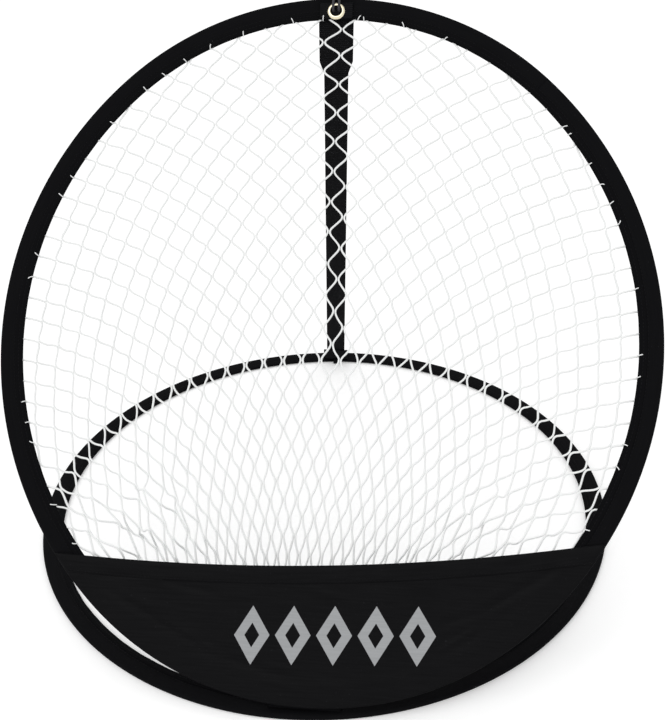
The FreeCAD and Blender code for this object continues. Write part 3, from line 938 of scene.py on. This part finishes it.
# When the hoop folds down, the lower part of the strap falls flat on the ring and the upper part
# against the hoop's back. They part where both come to lie at one place.
foldTurn = (Matrix.Translation(hoop["hinge"]) @ turned(-hoop["fold"], acrossHoop)
            @ Matrix.Translation(-Vector(hoop["hinge"])))


def foldedGap(share):
    point = strapBend.lerp(strapTop, share)
    inPlane = hoopPlace.inverted() @ point
    inPlane.z = tabMiddle
    return (foldTurn @ hoopPlace @ inPlane).y - point.y


parting = lastWhere(lambda share: foldedGap(share) <= 0, 0.05, 0.95)
strapParting = strapBend.lerp(strapTop, parting)
print("strap parts at", round(parting, 3))

strapWay = [strapFoot, strapBend, strapParting, strapTop]
lowerStrap = layRibbon("rearStrapLower", strapWay[:3], [strap["width"]] * 3, strap["thick"])
lowerLength = (strapBend - strapFoot).length + (strapParting - strapBend).length
upperStrap = layRibbon("rearStrapUpper", strapWay[2:], [strap["width"]] * 2, strap["thick"],
                       start=lowerLength)
taperStart = topBend + strapRun * (strap["tabDrop"] - strap["taper"])
topTab = layRibbon("strapTopTab", [topEnd, topBend, taperStart, topBend + strapRun * strap["tabDrop"]],
                   [strap["tabWidth"]] * 3 + [strap["width"]], strap["tabThick"])
bottomTab = layRibbon("strapBottomTab", [bottomEnd, bottomBend, bottomBend - strapRun * strap["tabRise"]],
                      [strap["tabWidth"]] * 3, strap["tabThick"])
tailTip = Vector((0, groundRing["radius"] - band["width"] - 0.0055, 0.0018))
bottomTail = layRibbon("strapTail", [bottomBend, tailTip], [strap["tailWidth"]] * 2, 0.001, step=0.0015)

for piece, nodes in ((lowerStrap, ["rear_strap"]), (bottomTab, ["strap_bottom_tab"]), (bottomTail, [])):
    finishPiece(piece, webbing, "webbing", "base", *nodes)
    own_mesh(piece)
for piece, node in ((upperStrap, "rear_strap"), (topTab, "strap_top_tab")):
    finishPiece(piece, webbing, "webbing", "hoop", node)
    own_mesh(piece)

patch = {"width": 0.032, "thick": 0.0014, "inset": 0.005, "lift": 0.0015}
patchEnds = [hoopPlace @ Vector((0, hoop["length"] - inset, patch["lift"]))
             for inset in (patch["inset"], band["width"])]
patchPiece = layRibbon("eyeletPatch", patchEnds, [patch["width"]] * 2, patch["thick"], step=0.0012)
finishPiece(patchPiece, webbing, "webbing", "hoop", "eyelet_patch")
print("strap, tabs and patch made")

# Hinge tape
tape = {"length": 0.064, "thick": 0.0006, "leaf": 0.011, "clear": 0.0003, "fold": 0.0009}
leafFoot = hoopPlace @ Vector((0, 0, -band["half"] - tape["clear"] - tape["thick"] / 2))
leafUp = hoopPlace.to_3x3() @ Vector((0, 1, 0))
tapeFold = leafFoot + leafUp * ((0.0056 + tape["thick"] / 2 - leafFoot.z) / leafUp.z)
levelRun = Vector((0, 0, 1)).cross(acrossHoop).normalized()
tapeWay = [tapeFold + levelRun * tape["leaf"], tapeFold, tapeFold + leafUp * tape["leaf"]]
hingeTape = layRibbon("hingeTape", tapeWay, [tape["length"]] * 3, tape["thick"], step=0.0008)
finishPiece(hingeTape, bindingTape, "binding_tape", None, "hinge_tape")
hingeTape.modifiers.clear()
bm = bmesh.new()
bm.from_mesh(hingeTape.data)
bmesh.ops.solidify(bm, geom=bm.faces[:], thickness=tape["thick"])
bm.to_mesh(hingeTape.data)
bm.free()
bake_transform(hingeTape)
print("hinge tape made")

# Eyelet, washer and closing loop
eyelet = {"inset": 0.014, "steps": 72}
eyeletPlace = hoopPlace @ Matrix.Translation((0, hoop["length"] - eyelet["inset"], 0))


def turnRound(name, outline, place):
    # A turned piece from a closed outline of (radius, height).
    bm = bmesh.new()
    section = [bm.verts.new((radius, 0, height)) for radius, height in outline]
    edges = [bm.edges.new((a, b)) for a, b in zip(section, section[1:] + section[:1])]
    bmesh.ops.spin(bm, geom=section + edges, cent=(0, 0, 0), axis=(0, 0, 1), dvec=(0, 0, 0),
                   angle=2 * math.pi, steps=eyelet["steps"], use_merge=True, use_duplicate=False)
    bmesh.ops.remove_doubles(bm, verts=bm.verts, dist=1e-7)
    bmesh.ops.recalc_face_normals(bm, faces=bm.faces)
    return makePiece(name, bm, place)


flangeOutline = [(0.0054, -0.0056), (0.0054, 0.0028), (0.00555, 0.0033), (0.0060, 0.00358),
                 (0.0066, 0.0036), (0.0074, 0.0034), (0.0081, 0.0029), (0.0086, 0.0023),
                 (0.0087, 0.0020), (0.0083, 0.0021), (0.0076, 0.0024), (0.0066, 0.0027),
                 (0.0060, 0.0025), (0.0058, 0.0020), (0.0058, -0.0051), (0.0063, -0.0052),
                 (0.0068, -0.0053), (0.0070, -0.0055), (0.0066, -0.0056), (0.0060, -0.0057)]
washerOutline = [(0.0059, -0.0044), (0.0059, -0.0051), (0.0062, -0.0052), (0.0077, -0.0050),
                 (0.0080, -0.0046), (0.0079, -0.0044)]
for name, node, outline in (("eyelet", "eyelet", flangeOutline),
                            ("eyeletWasher", "eyelet_washer", washerOutline)):
    finishPiece(turnRound(name, outline, eyeletPlace), brass, "eyelet_brass", "hoop", node)

loop = {"cord": 0.0013, "knot": -0.00865, "knotRadius": 0.0061, "length": 0.050}
loopPoints = [(0.0026, 0.0, -0.0075), (0.0026, 0.0, -0.003), (0.0026, 0.0, 0.0015), (0.0027, 0.0006, 0.0042),
              (0.0028, 0.003, 0.0053), (0.0029, 0.006, 0.0054), (0.0028, 0.0092, 0.0052),
              (0.0022, 0.0112, 0.0050), (0.0008, 0.0121, 0.0049)]
loopPoints += [(-x, y, z) for x, y, z in reversed(loopPoints)]
curve = newCurve("closingLoop", bevel_depth=loop["cord"], bevel_resolution=4, resolution_u=8,
                 use_fill_caps=True)
laySpline(curve, [eyeletPlace @ Vector(place) for place in loopPoints], [1] * len(loopPoints))
closingLoop = addObject("closingLoop", curve)
finishPiece(closingLoop, elasticCord, "elastic_cord", "hoop", "closing_loop")


def makeKnot():
    # An overhand knot: three soft turns of the cord over one another.
    bm = bmesh.new()
    for tilt, spin, size in ((0, 0, 1.0), (52, 15, 0.96), (-48, 75, 0.96)):
        made = bmesh.ops.create_uvsphere(bm, u_segments=28, v_segments=16, radius=loop["knotRadius"] * size)
        turn = Matrix.Rotation(math.radians(spin), 3, "Z") @ Matrix.Rotation(math.radians(tilt), 3, "X")
        for vertex in made["verts"]:
            place = vertex.co.normalized()
            waist = 1 - 0.13 * abs(math.cos(3 * math.asin(max(-1, min(1, place.z)))))
            vertex.co = turn @ (vertex.co * waist)
    bmesh.ops.translate(bm, vec=(0, 0, loop["knot"]), verts=bm.verts)
    return makePiece("closingLoopKnot", bm, eyeletPlace)


loopKnot = makeKnot()
finishPiece(loopKnot, elasticCord, "elastic_cord", "hoop")
print("eyelet and closing loop made")

# Floor, light and camera
floor = {"size": 14.0, "colour": (0.88, 0.88, 0.88), "glow": 0.24}
light = {"sky": 0.78, "sun": 0.75, "sunFrom": (-0.9, -1.1, 2.4), "softness": 45}
camera = {"place": (0.06522, -0.81620, 0.64773), "down": 29.996, "turn": 3.558, "roll": -1.580, "lens": 47.67}


def seenStraight(tree):
    # 1 where the camera looks, also in metal or through glass
    paths = tree.nodes.new("ShaderNodeLightPath")
    direct = mathNode(tree, "ADD", paths.outputs["Is Camera Ray"], paths.outputs["Is Glossy Ray"])
    return mathNode(tree, "MINIMUM", mathNode(tree, "ADD", direct, paths.outputs["Is Transmission Ray"]), 1.0)


bm = bmesh.new()
bmesh.ops.create_grid(bm, x_segments=1, y_segments=1, size=floor["size"])
bmesh.ops.translate(bm, vec=(0, 0, -0.0002), verts=bm.verts)
floorPiece = makePiece("floor", bm, smooth=False)
material, tree, shader = newMaterial("whiteFloor", Base_Color=(*floor["colour"], 1), Roughness=0.9,
                                     Specular_IOR_Level=0.0, Emission_Color=(1, 1, 1, 1))
glow = mathNode(tree, "MULTIPLY", seenStraight(tree), floor["glow"])
tree.links.new(glow, shader.inputs["Emission Strength"])
floorPiece.data.materials.append(material)

world = bpy.data.worlds.new("studio")
bpy.context.scene.world = world
world.use_nodes = True
tree = world.node_tree
sky = tree.nodes["Background"]
strength = mathNode(tree, "MULTIPLY_ADD", seenStraight(tree), 1.0 - light["sky"], light["sky"])
tree.links.new(strength, sky.inputs["Strength"])
sky.inputs["Color"].default_value = (1, 1, 1, 1)

lamp = bpy.data.lights.new("softSun", "SUN")
lamp.energy = light["sun"]
lamp.angle = math.radians(light["softness"])
lampPiece = addObject("softSun", lamp)
lampPiece.location = light["sunFrom"]
lampPiece.rotation_euler = (-Vector(light["sunFrom"])).to_track_quat("-Z", "Y").to_euler()

eye = bpy.data.cameras.new("camera")
eye.lens = camera["lens"]
eye.sensor_width = 36
eye.sensor_fit = "HORIZONTAL"
eyePiece = addObject("camera", eye)
eyePiece.matrix_world = (Matrix.Translation(camera["place"]) @ turned(camera["turn"], "Z")
                         @ turned(90 - camera["down"], "X") @ turned(camera["roll"], "Z"))
bpy.context.scene.camera = eyePiece
bpy.context.scene.view_settings.view_transform = "Standard"
print("stage set")
